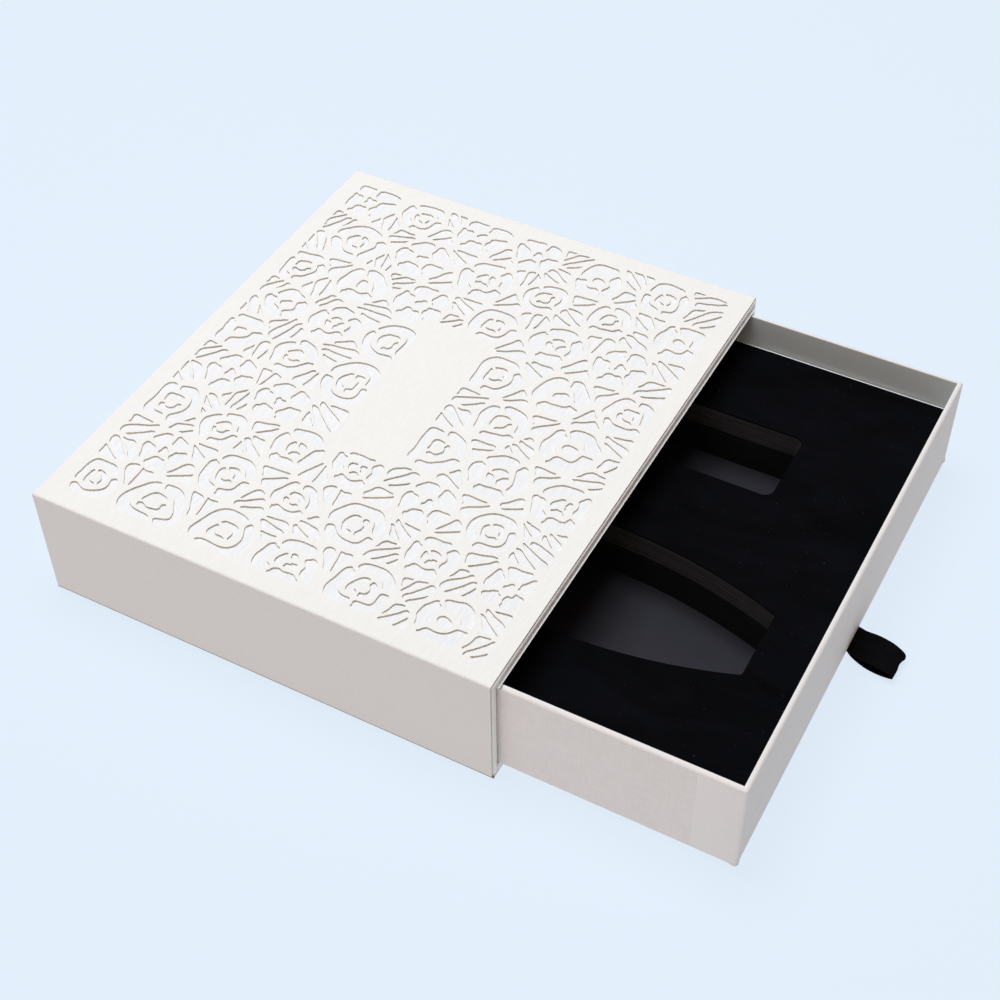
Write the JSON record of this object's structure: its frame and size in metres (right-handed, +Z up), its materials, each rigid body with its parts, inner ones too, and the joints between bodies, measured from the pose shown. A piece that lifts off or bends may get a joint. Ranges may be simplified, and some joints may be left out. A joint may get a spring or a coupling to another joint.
{
  "type": "sliding drawer gift box",
  "caption": "Flat gift box: a papered drawer with a fitted flocked insert and a ribbon pull slides in a sleeve under a floral cut-card jacket.",
  "frame": {"origin": "middle of the sleeve's underside, where the box stands on the table", "axes": "+X the way the drawer pulls out, +Y across the box, +Z up from the table"},
  "size_m": [0.264, 0.2, 0.045],
  "materials": {
    "cut_card": "matt cream card, linen grain, browned cut edges",
    "white_paper": "matt white paper",
    "linen_paper": "white paper with a linen grain",
    "greyboard": "bare greyboard",
    "dark_card": "matt dark card",
    "dark_foam": "matt dark foam",
    "grey_foam": "matt light grey foam",
    "white_card": "matt white card",
    "black_flock": "black flock",
    "black_satin": "black satin ribbon"
  },
  "bodies": {
    "sleeve": {"sleeve_jacket": "cut_card", "jacket_base_flap": "cut_card", "sleeve_back_cover": "cut_card", "sleeve_wrap": "white_paper", "sleeve_lining": "white_paper", "sleeve_bottom_board": "greyboard", "sleeve_top_board": "greyboard", "sleeve_near_board": "greyboard", "sleeve_far_board": "greyboard", "sleeve_back_board": "greyboard"},
    "drawer": {"drawer_front_board": "greyboard", "drawer_back_board": "greyboard", "drawer_near_board": "greyboard", "drawer_far_board": "greyboard", "drawer_base_board": "greyboard", "drawer_front_wrap": "linen_paper", "drawer_back_wrap": "linen_paper", "drawer_near_wrap": "linen_paper", "drawer_far_wrap": "linen_paper", "drawer_base_paper": "linen_paper", "drawer_lining": "linen_paper", "insert_base_card": "dark_card", "insert_lower_foam": "dark_foam", "insert_upper_foam": "grey_foam", "insert_face_card": "white_card", "insert_flock": "black_flock", "ribbon_pull": "black_satin"}
  },
  "joints": [
    {"name": "drawer_slide", "type": "slide", "parent": "sleeve", "child": "drawer", "axis": [1, 0, 0], "range_m": [-0.0785, 0.09]}
  ]
}
